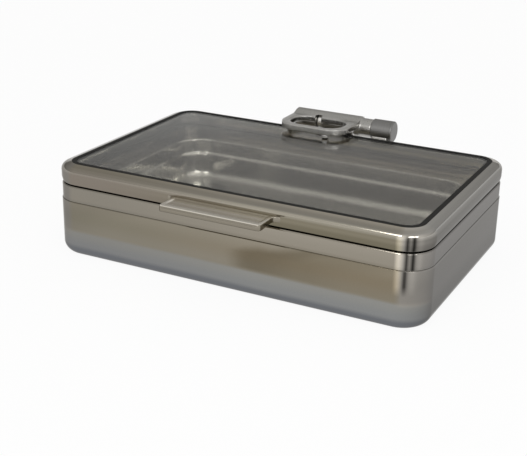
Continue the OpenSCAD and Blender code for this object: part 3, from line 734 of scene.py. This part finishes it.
glass_low, glass_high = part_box("lid_glass")
glass_w, glass_d = spans(glass_low, glass_high)
glass_r = LID_R - (lid_w - glass_w) / 2
pane = [(-GLASS_EDGE, glass_low.z), (0, glass_low.z + GLASS_EDGE), (0, glass_high.z - GLASS_EDGE),
        (-GLASS_EDGE, glass_high.z)]
glass_plan = outline((0, glass_w, glass_d, glass_r))
glass = carry("glass_pane", soften(pane, GLASS_EDGE, closed=False), glass_plan, closed=False)
settle(glass, GLASS, "lid", "glass", "lid_glass")

# %% Gasket and retainer
GASKET_W = 7.5 * MM
GLASS_BITE = 4 * MM
GASKET_LIP = 0.8 * MM
GASKET_BEND = 0.5 * MM
RETAINER_W = 10 * MM
RETAINER_H = 8 * MM
RETAINER_BEND = 0.6 * MM

gasket_plan = outline((0, *spans(gasket_low, gasket_high), LID_R - GASKET_INSET))
bite_x = -GASKET_W + GLASS_BITE
channel = [(0, gasket_low.z), (0, gasket_high.z), (-GASKET_W + GASKET_LIP, gasket_high.z),
           (-GASKET_W, glass_high.z), (bite_x, glass_high.z), (bite_x, glass_low.z),
           (-GASKET_W, glass_low.z), (-GASKET_W, gasket_low.z)]
gasket = carry("gasket_channel", soften(channel, GASKET_BEND), gasket_plan)
settle(gasket, BLACK_RUBBER, "lid", "black_rubber", "glass_gasket")

seat_z = gasket_low.z
angle_ring = [(0, seat_z - RETAINER_H), (0, seat_z), (-RETAINER_W, seat_z),
              (-RETAINER_W, seat_z - LID_SHEET), (-LID_SHEET, seat_z - LID_SHEET),
              (-LID_SHEET, seat_z - RETAINER_H)]
retainer = carry("retainer_angle", soften(angle_ring, RETAINER_BEND), gasket_plan)
settle(retainer, SATIN_STEEL, "lid", "pan_steel", "glass_retainer")

# %% Rim seal
SEAL_W = 5 * MM
SEAL_R = 37 * MM
SEAL_BEND = 0.9 * MM

seal_low, seal_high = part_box("rim_seal")
bulb = [(0, seal_low.z), (0, seal_high.z), (-SEAL_W, seal_high.z), (-SEAL_W, seal_low.z)]
seal_plan = outline((0, *spans(seal_low, seal_high), SEAL_R))
seal = carry("rim_seal_ring", soften(bulb, SEAL_BEND), seal_plan)
settle(seal, BLACK_RUBBER, "dish", "black_rubber", "rim_seal")

# %% [markdown]
# ## The front tab
# The lid is lifted by a wide tab with a round front lip, a dished top, a finger groove below and a
# raised rib at each end, and it flares where it meets the skirt. A subdivided box would need many
# creases for that, so the tab is a grid over its plan: each point gets a height from the dish, the
# groove and the distance to the nearest edge.

# %% Shape of the front tab
TAB_RIB = 6 * MM
RIB_BLEND = 3 * MM
TAB_CORNER = 9 * MM
TAB_FLARE = 9 * MM
TAB_DISH = 0.9 * MM
TAB_GROOVE = 2.4 * MM
BOWL_START = 6 * MM
LIP_W = 4 * MM
BOWL_END = 20 * MM
TAB_EDGE = 1.6 * MM
ROOT_T = 7.6 * MM

tab_low, tab_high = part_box("lid_handle")
root_y = tab_high.y
reach = tab_high.y - tab_low.y
half = tab_high.x - TAB_FLARE
tab_top = tab_high.z
lip_t = tab_high.z - tab_low.z


def half_width(out):
    """Half the tab's width at a distance out from the skirt: flare, straight side, round corner."""
    if out < TAB_FLARE:
        return half + TAB_FLARE - math.sqrt(TAB_FLARE ** 2 - (TAB_FLARE - out) ** 2)
    past = out - (reach - TAB_CORNER)
    if past > 0:
        return half - TAB_CORNER + math.sqrt(max(TAB_CORNER ** 2 - past ** 2, 0))
    return half


def rounding(gap, radius):
    """How far a surface falls below its crown this close to an edge."""
    return radius - math.sqrt(radius ** 2 - max(radius - gap, 0) ** 2)


def tab_heights(x, out):
    """Top and bottom of the tab at a place across and out from the skirt."""
    to_side = half_width(out) - abs(x)
    to_front = reach - out
    middle = smooth((half - TAB_RIB + RIB_BLEND / 2 - abs(x)) / RIB_BLEND)
    bowl = smooth(out / BOWL_START) * smooth((to_front - LIP_W) / BOWL_END)
    bull = lip_t / 2
    taper = smooth(out / reach)
    fall = max(rounding(to_side, TAB_EDGE), rounding(to_front, bull))
    high = tab_top - TAB_DISH * middle * bowl - fall
    low = tab_top - ROOT_T - (lip_t - ROOT_T) * taper + TAB_GROOVE * middle * bowl + fall
    return max(high, low), low


print("tab reaches", round(reach / MM, 1), "mm")

# %% Front tab
TAB_COLUMNS = 96
TAB_ROWS = 48
THINNEST = 0.02 * MM
TAB_CREASE = 60
FLAT_FROM = 0.8
FLAT_BLEND = 0.15


def fill(*points):
    """A face through the points, some of which may be the same."""
    corners = dict.fromkeys(points)
    if len(corners) > 2:
        shape.faces.new(corners)


shape = bmesh.new()
outs = [reach * math.sin(math.pi / 2 * row / TAB_ROWS) for row in range(TAB_ROWS + 1)]
loops = []
for column in range(TAB_COLUMNS + 1):
    across = math.sin(math.pi * (column / TAB_COLUMNS - 0.5))
    upper, lower = [], []
    for out in outs:
        x = half_width(out) * across
        high, low = tab_heights(x, out)
        upper.append(shape.verts.new((x, root_y - out, high)))
        if high - low > THINNEST:
            lower.append(shape.verts.new((x, root_y - out, low)))
        else:
            lower.append(upper[-1])
    loops.append(upper + lower[::-1])
for one, two in zip(loops, loops[1:]):
    for i in range(len(one)):
        j = (i + 1) % len(one)
        fill(one[i], two[i], two[j], one[j])
for loop in (loops[0], loops[-1]):
    upper, lower = loop[:TAB_ROWS + 1], loop[:TAB_ROWS:-1]
    for i in range(TAB_ROWS):
        fill(upper[i], upper[i + 1], lower[i + 1], lower[i])
tab = close_up("front_tab", shape, TAB_CREASE)
# The attribute marks the flat top, which takes the light painted tones, apart from the lip with its
# darker painted tones.
paint(tab, "long_wall", lambda _place, normal: smooth((normal.z - FLAT_FROM) / FLAT_BLEND))
settle(tab, TAB_STEEL, "lid", "polished_steel", "lid_handle")

# %% [markdown]
# ## The hinge castings
# The loop on the lid and the seat on the collar are castings, with soft edges everywhere. A bevel on
# their triangles would break up, so a copy of each solid is remeshed on a fine grid and relaxed a
# few times, which rounds edges and inner corners alike, as tumbling does. The loop's window gets
# painted shade and its knuckle a painted dark reflection, its underside is lightened with painted
# light, and the lug in the seat gets a painted highlight.


# %% Casting helpers
CAST_GRID = 0.8 * MM
RELAX_SHARE = 0.5
WELD = 0.001 * MM


def make_plain(piece):
    """Puts what a piece's modifiers make in the place of its mesh."""
    graph = bpy.context.evaluated_depsgraph_get()
    mesh = bpy.data.meshes.new_from_object(piece.evaluated_get(graph))
    piece.modifiers.clear()
    mesh.name = piece.name
    piece.data = mesh
    mesh.shade_smooth()


def casting(node, name, passes):
    """A merged copy of a solid, remeshed and relaxed into a soft-edged casting."""
    mesh = frame["nodes"][node].data.copy()
    shape = bmesh.new()
    shape.from_mesh(mesh)
    bmesh.ops.remove_doubles(shape, verts=shape.verts, dist=WELD)
    shape.to_mesh(mesh)
    shape.free()
    piece = bpy.data.objects.new(name, mesh)
    scene.collection.objects.link(piece)
    grid = piece.modifiers.new("grid", "REMESH")
    grid.mode = "VOXEL"
    grid.voxel_size = CAST_GRID
    relax = piece.modifiers.new("relax", "SMOOTH")
    relax.factor = RELAX_SHARE
    relax.iterations = passes
    make_plain(piece)
    return piece


print("casting helpers ready")

# %% Hinge loop
LOOP_PASSES = 20
WINDOW_START = Vector((8 * MM, 7 * MM, 0))
WINDOW_END = Vector((109 * MM, 67 * MM))
WINDOW_BELOW_TOP = 7 * MM
WINDOW_SHADE = 0.75
WINDOW_TILT = 0.8
KNUCKLE_START = 56 * MM
KNUCKLE_BLEND = 8 * MM
KNUCKLE_DARK_REFLECTION = 0.16
UNDERSIDE_FROM = 0.2
UNDERSIDE_BLEND = 0.5

loop_low, loop_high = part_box("hinge_leaf")
window_low = loop_low + WINDOW_START
window_end = loop_low.to_2d() + WINDOW_END
window_high = Vector((*window_end, loop_high.z - WINDOW_BELOW_TOP))
window_middle = (window_low + window_high) / 2


def loop_light_and_shade(place, normal):
    """Painted: shade in the window, a dark reflection on the knuckle, light on the underside."""
    within = all(a < x < b for a, x, b in zip(window_low, place, window_high))
    inward = (window_middle - place).to_2d().dot(normal.to_2d()) > 0
    upright = max(0, 1 - abs(normal.z) / WINDOW_TILT)
    shade_in_window = WINDOW_SHADE * upright if within and inward else 0
    knuckle = smooth((place.y - loop_low.y - KNUCKLE_START) / KNUCKLE_BLEND)
    lit_underside = (1 - knuckle) * smooth((-normal.z - UNDERSIDE_FROM) / UNDERSIDE_BLEND)
    return max(shade_in_window, KNUCKLE_DARK_REFLECTION * knuckle) - lit_underside


loop = casting("hinge_leaf", "hinge_loop", LOOP_PASSES)
paint(loop, "painted_light_shade", loop_light_and_shade)
settle(loop, CAST_STEEL, "lid", "cast_steel", "hinge_leaf")

# %% Hinge seat
SEAT_PASSES = 6
LUG_MARGIN = 1 * MM
LUG_BLEND = 6 * MM

lug_low, lug_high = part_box("lug_bush")


def lug_highlight(place, _normal):
    """A painted highlight on the lug, strongest at its top."""
    on_lug = lug_low.x - LUG_MARGIN < place.x < lug_high.x + LUG_MARGIN
    return -smooth((place.z - lug_low.z) / LUG_BLEND) if on_lug else 0


seat = casting("hinge_bracket", "hinge_seat", SEAT_PASSES)
paint(seat, "painted_light_shade", lug_highlight)
settle(seat, CAST_STEEL, "dish", "cast_steel", "hinge_bracket")

# %% [markdown]
# ## Turned pieces
# The barrel, its cap, the shaft, the bushes and the damper are turned on one axis. Each is an
# outline of (place along the axis, radius) spun about it, with a small chamfer at every corner.


# %% Turning helpers
SPIN_STEPS = 96
SPIN_WELD = 0.002 * MM
SPIN_CREASE = 35


def spun(name, outline_points, middle, along="X"):
    """Spins a closed outline about an axis through the middle; a radius of 0 closes on the axis."""
    shape = bmesh.new()
    rings = []
    for place, radius in outline_points:
        ring = []
        for i in range(SPIN_STEPS):
            a = 2 * math.pi * i / SPIN_STEPS
            across = (radius * math.cos(a), radius * math.sin(a))
            spot = (place, *across) if along == "X" else (*across, place)
            ring.append(shape.verts.new(Vector(spot) + middle))
        rings.append(ring)
    skin(shape, rings)
    bmesh.ops.remove_doubles(shape, verts=shape.verts, dist=SPIN_WELD)
    bmesh.ops.dissolve_degenerate(shape, edges=shape.edges, dist=SPIN_WELD)
    return close_up(name, shape, SPIN_CREASE)


def ring_outline(low, high, outer, inner, chamfer):
    """Outline of a ring, or of a solid rod where the inner radius is 0."""
    corners = [(low, inner), (low, outer), (high, outer), (high, inner)]
    return soften(corners, chamfer, closed=inner > 0)


axis = frame["joints"][0]["pos_m"]
axis_line = Vector((0, axis[1], axis[2]))
print("hinge axis at", [round(x, 4) for x in axis_line])

# %% Barrel and cap
BARREL_WALL = 3 * MM
BARREL_EDGE = 0.6 * MM
CAP_ROUND = 2.5 * MM
CAP_PLUG = 3 * MM
CAP_EDGE = 0.4 * MM

barrel_low, barrel_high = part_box("barrel_housing")
barrel_r = (barrel_high.y - barrel_low.y) / 2
bore_r = barrel_r - BARREL_WALL
barrel_points = ring_outline(barrel_low.x, barrel_high.x, barrel_r, bore_r, BARREL_EDGE)
barrel = spun("damper_barrel", barrel_points, axis_line)
settle(barrel, TURNED_STEEL, "dish", "cast_steel", "barrel_housing")

cap_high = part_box("barrel_cap")[1]
cap_t = cap_high.x - barrel_high.x
cap_points = [(-CAP_PLUG, 0), (-CAP_PLUG, bore_r), (0, bore_r), (0, barrel_r)]
cap_edge = arc((barrel_r - CAP_ROUND, cap_t - CAP_ROUND), CAP_ROUND, 0, 90, 8)
cap_points += [(x, r) for r, x in cap_edge] + [(cap_t, 0)]
cap_points = [(barrel_high.x + x, r) for x, r in soften(cap_points, CAP_EDGE, closed=False)]
cap = spun("barrel_end_cap", cap_points, axis_line)
settle(cap, TURNED_STEEL, "dish", "cast_steel", "barrel_cap")

# %% Shaft, bushes, damper, post and pad
SHAFT_R = 4 * MM
SHAFT_CLEAR = 0.05 * MM
PIN_EDGE = 0.4 * MM
POST_EDGE = 0.7 * MM

for node, name, finish, body, slot, inner in (
    ("barrel_bush", "barrel_bearing", BRONZE, "dish", "bronze", SHAFT_R + SHAFT_CLEAR),
    ("lug_bush", "lug_bearing", BRONZE, "dish", "bronze", SHAFT_R + SHAFT_CLEAR),
    ("hinge_shaft", "hinge_pin", SCREW_STEEL, "lid", "screw_steel", 0),
    ("damper_rotor", "damper_drum", BLACK_PLASTIC, "lid", "black_plastic", SHAFT_R),
):
    low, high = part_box(node)
    points = ring_outline(low.x, high.x, (high.y - low.y) / 2, inner, PIN_EDGE)
    settle(spun(name, points, axis_line), finish, body, slot, node)

for node, name, finish, slot in (
    ("leaf_post", "loop_post", POST_STEEL, "polished_steel"),
    ("leaf_pad", "post_pad", BLACK_RUBBER, "black_rubber"),
):
    low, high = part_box(node)
    middle = (low + high) / 2
    points = ring_outline(low.z, high.z, (high.x - low.x) / 2, 0, POST_EDGE)
    settle(spun(name, points, Vector((middle.x, middle.y, 0)), "Z"), finish, "lid", slot, node)

# %% [markdown]
# ## Screws
# The screws repeat, so Geometry Nodes make them: one tree builds a socket-head screw from named
# sizes and sets it on every point of a small mesh. The result is turned into a plain mesh for each
# group of screws, because only real faces are exported.


# %% Screw tree
SHANK_SIDES = 24
HEAD_SIDES = 32
SOCKET_SIDES = 6
HEAD_BODY = 0.7
HEAD_CROWN = 0.3
CROWN_TAPER = 0.86
SOCKET_SHARE = 0.5
SCREW_CREASE = math.radians(35)


def screw_tree():
    """A node tree that puts a hexagon-socket screw on every point of its mesh."""
    tree = bpy.data.node_groups.new("socket_screws", "GeometryNodeTree")
    face = tree.interface
    face.new_socket("Geometry", in_out="INPUT", socket_type="NodeSocketGeometry")
    for name in ("Shank Radius", "Shank Length", "Head Radius", "Head Height"):
        face.new_socket(name, in_out="INPUT", socket_type="NodeSocketFloat")
    face.new_socket("Turn", in_out="INPUT", socket_type="NodeSocketVector")
    face.new_socket("Finish", in_out="INPUT", socket_type="NodeSocketMaterial")
    face.new_socket("Geometry", in_out="OUTPUT", socket_type="NodeSocketGeometry")
    add = node_maker(tree)

    def times(value, factor):
        return add("ShaderNodeMath", {0: value, 1: factor}, operation="MULTIPLY").outputs[0]

    def lifted(mesh, height):
        offset = add("ShaderNodeCombineXYZ", {"Z": height}).outputs[0]
        return add("GeometryNodeTransform", {"Geometry": mesh, "Translation": offset}).outputs[0]

    def rod(sides, radius, depth, height):
        sizes = {"Vertices": sides, "Radius": radius, "Depth": depth}
        return lifted(add("GeometryNodeMeshCylinder", sizes).outputs["Mesh"], height)

    given = add("NodeGroupInput").outputs
    head_r, head_h = given["Head Radius"], given["Head Height"]
    shank_r, shank_l = given["Shank Radius"], given["Shank Length"]
    shank = rod(SHANK_SIDES, shank_r, shank_l, times(shank_l, 0.5))
    body = rod(HEAD_SIDES, head_r, times(head_h, HEAD_BODY), times(head_h, -HEAD_BODY / 2))
    sizes = {"Radius Top": head_r, "Radius Bottom": times(head_r, CROWN_TAPER)}
    sizes.update({"Vertices": HEAD_SIDES, "Depth": times(head_h, HEAD_CROWN)})
    cone = add("GeometryNodeMeshCone", sizes)
    crown = lifted(cone.outputs["Mesh"], times(head_h, -1))
    socket = rod(SOCKET_SIDES, times(head_r, SOCKET_SHARE), head_h, times(head_h, -1))
    solid = add("GeometryNodeMeshBoolean", operation="UNION")
    for part in (body, crown):
        tree.links.new(part, solid.inputs["Mesh 2"])
    cut = add("GeometryNodeMeshBoolean", {"Mesh 1": solid.outputs["Mesh"]}, operation="DIFFERENCE")
    tree.links.new(socket, cut.inputs["Mesh 2"])
    whole = add("GeometryNodeJoinGeometry")
    for part in (shank, cut.outputs["Mesh"]):
        tree.links.new(part, whole.inputs["Geometry"])
    points = add("GeometryNodeMeshToPoints", {"Mesh": given["Geometry"]}).outputs["Points"]
    turn = add("FunctionNodeEulerToRotation", {"Euler": given["Turn"]}).outputs["Rotation"]
    copies = {"Points": points, "Instance": whole.outputs["Geometry"], "Rotation": turn}
    placed = add("GeometryNodeInstanceOnPoints", copies).outputs["Instances"]
    real = add("GeometryNodeRealizeInstances", {"Geometry": placed}).outputs["Geometry"]
    dressed = add("GeometryNodeSetMaterial", {"Geometry": real, "Material": given["Finish"]})
    add("NodeGroupOutput", {"Geometry": dressed.outputs["Geometry"]})
    return tree


SCREWS = screw_tree()
print("screw tree", len(SCREWS.nodes), "nodes")


# %% Screw helper
HEAD_H = 2.4 * MM


def screws(name, places, turn, shank_r, shank_l, head_r):
    """Screws on the given points, as one plain mesh."""
    mesh = bpy.data.meshes.new(name)
    mesh.from_pydata(places, [], [])
    piece = bpy.data.objects.new(name, mesh)
    scene.collection.objects.link(piece)
    nodes = piece.modifiers.new("screws", "NODES")
    nodes.node_group = SCREWS
    sizes = {"Shank Radius": shank_r, "Shank Length": shank_l, "Head Radius": head_r,
             "Head Height": HEAD_H, "Turn": turn, "Finish": SCREW_STEEL}
    for item in SCREWS.interface.items_tree:
        if item.in_out == "INPUT" and item.name in sizes:
            nodes[item.identifier] = sizes[item.name]
    make_plain(piece)
    piece.data.set_sharp_from_angle(angle=SCREW_CREASE)
    return piece


print("screw helper ready")

# %% [markdown]
# ## Screws in place
# The frame gives the box that each group of screws fills. The heads sit at one end of that box, so
# the box and the head's size place every screw. Only the four places across the bracket are listed.

# %% Screws in place
SCREW_R = 2 * MM
SCREW_HEAD_R = 3.6 * MM
LEAF_SCREW_R = 1.75 * MM
LEAF_HEAD_R = 3 * MM
BRACKET_SCREWS_X = (-55.5 * MM, -4.5 * MM, 47 * MM, 101.5 * MM)
HEAD_BACK = (math.pi / 2, 0, 0)
HEAD_DOWN = (0, 0, 0)

low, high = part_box("handle_screws")
tab_screws_x = (low.x + SCREW_HEAD_R, high.x - SCREW_HEAD_R)
for node, name, body, across in (
    ("bracket_screws", "bracket_socket_screws", "dish", BRACKET_SCREWS_X),
    ("handle_screws", "tab_socket_screws", "lid", tab_screws_x),
):
    low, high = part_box(node)
    head_y, mid_z = high.y - HEAD_H, (low.z + high.z) / 2
    places = [(x, head_y, mid_z) for x in across]
    group = screws(name, places, HEAD_BACK, SCREW_R, head_y - low.y, SCREW_HEAD_R)
    settle(group, SCREW_STEEL, body, "screw_steel", node)

low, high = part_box("leaf_screws")
mid_y, head_z = (low.y + high.y) / 2, low.z + HEAD_H
places = [(x, mid_y, head_z) for x in (low.x + LEAF_HEAD_R, high.x - LEAF_HEAD_R)]
group = screws("loop_socket_screws", places, HEAD_DOWN, LEAF_SCREW_R, high.z - head_z, LEAF_HEAD_R)
settle(group, SCREW_STEEL, "lid", "screw_steel", "leaf_screws")

# %% [markdown]
# ## Pieces that stay as the frame has them
# The backing plate, the damper's chamber and the set screw are plain shapes deep inside. Their own
# meshes are right, so they only get a finish.

# %% Finishes on the frame's own pieces
for node, finish in (
    ("backing_plate", SCREW_STEEL),
    ("damper_body", BLACK_PLASTIC),
    ("shaft_set_screw", SCREW_STEEL),
):
    mesh = frame["nodes"][node].data
    mesh.materials.clear()
    mesh.materials.append(finish)
    print("kept", node)

# %% [markdown]
# ## The floor
# The dish stands on a white studio floor that turns up into a low wall all round, so that no edge
# shows from the side. It is lit like anything else, so that the dish keeps its shadow, and it glows
# where the camera, metal or glass look at it, so that it reads as white.

# %% Floor
FLOOR_R = 8
SWEEP_R = 1.6
SWEEP_TOP = 2.1
FLOOR_DROP = 0.2 * MM
FLOOR_STEPS = 96

floor_mesh = bpy.data.meshes.new("studio_floor")
shape = bmesh.new()
sweep = arc((FLOOR_R - SWEEP_R, SWEEP_R - FLOOR_DROP), SWEEP_R, -90, 0, 16)
turns = [2 * math.pi * i / FLOOR_STEPS for i in range(FLOOR_STEPS)]
rings = []
for radius, z in sweep + [(FLOOR_R, SWEEP_TOP)]:
    rings.append([shape.verts.new((radius * math.cos(a), radius * math.sin(a), z)) for a in turns])
shape.faces.new(rings[0])
skin(shape, rings[::-1], closed=False)
shape.to_mesh(floor_mesh)
shape.free()
floor_mesh.shade_smooth()
floor = bpy.data.objects.new("studio_floor", floor_mesh)
scene.collection.objects.link(floor)
print("floor", len(floor_mesh.polygons), "faces")

# %% Floor finish
FLOOR_GLOW = 0.93
PAPER_TONE = (0.86, 0.86, 0.86, 1)
PAPER_ROUGHNESS = 0.9

paper, add, shader = start_finish("studio_paper")
shader.inputs["Base Color"].default_value = PAPER_TONE
shader.inputs["Roughness"].default_value = PAPER_ROUGHNESS
rays = add("LightPath").outputs
seen = add("Math", {0: rays["Is Camera Ray"], 1: rays["Is Glossy Ray"]}, operation="MAXIMUM")
seen = add("Math", {0: seen.outputs[0], 1: rays["Is Transmission Ray"]}, operation="MAXIMUM")
glow = add("Math", {0: seen.outputs[0], 1: FLOOR_GLOW}, operation="MULTIPLY").outputs[0]
light = add("Emission", {"Color": (1, 1, 1, 1), "Strength": 1.0}).outputs["Emission"]
surface = add("MixShader", {0: glow, 1: shader.outputs["BSDF"], 2: light}).outputs["Shader"]
paper.node_tree.links.new(surface, paper.node_tree.nodes["Material Output"].inputs["Surface"])
floor_mesh.materials.append(paper)
print("floor finish", paper.name)

# %% [markdown]
# ## World and lamps
# The world is a plain soft gradient, dimmer behind the dish, because the flat glass mirrors the far
# end of the studio. Two soft boxes in front of the dish give the edges their highlights.

# %% World
SKY_SLANT = (0.35, -0.4, 1.0)
SKY_TONES = ((0.375, (0.5, 0.5, 0.49)), (0.402, (0.34, 0.335, 0.325)), (0.44, (0.34, 0.33, 0.315)),
             (0.53, (0.5, 0.495, 0.48)), (0.75, (0.7, 0.695, 0.68)), (1.0, (0.84, 0.84, 0.83)))

world = bpy.data.worlds.new("studio")
scene.world = world
world.use_nodes = True
add = node_maker(world.node_tree, "ShaderNode")
heading = add("TexCoord").outputs["Generated"]
slant = add("VectorMath", {0: heading, 1: SKY_SLANT}, operation="DOT_PRODUCT").outputs["Value"]
share = spread(add, slant, start=-1.0)
sky = ramp(add, share, *SKY_TONES, blend="LINEAR")
world.node_tree.links.new(sky, world.node_tree.nodes["Background"].inputs["Color"])
print("world", world.name)


# %% Lamps
def soft_box(name, place, size, power):
    """A rectangular lamp that faces the dish."""
    lamp = bpy.data.lights.new(name, "AREA")
    lamp.shape = "RECTANGLE"
    lamp.size, lamp.size_y = size
    lamp.energy = power
    box = bpy.data.objects.new(name, lamp)
    box.location = place
    box.rotation_euler = (-Vector(place)).to_track_quat("-Z", "Y").to_euler()
    scene.collection.objects.link(box)


soft_box("left_box", place=(-0.1, -1.9, 1.5), size=(0.8, 0.5), power=7.5)
soft_box("right_box", place=(1.55, -1.4, 1.2), size=(1.2, 0.5), power=10)
print("lamps", len(bpy.data.lights))
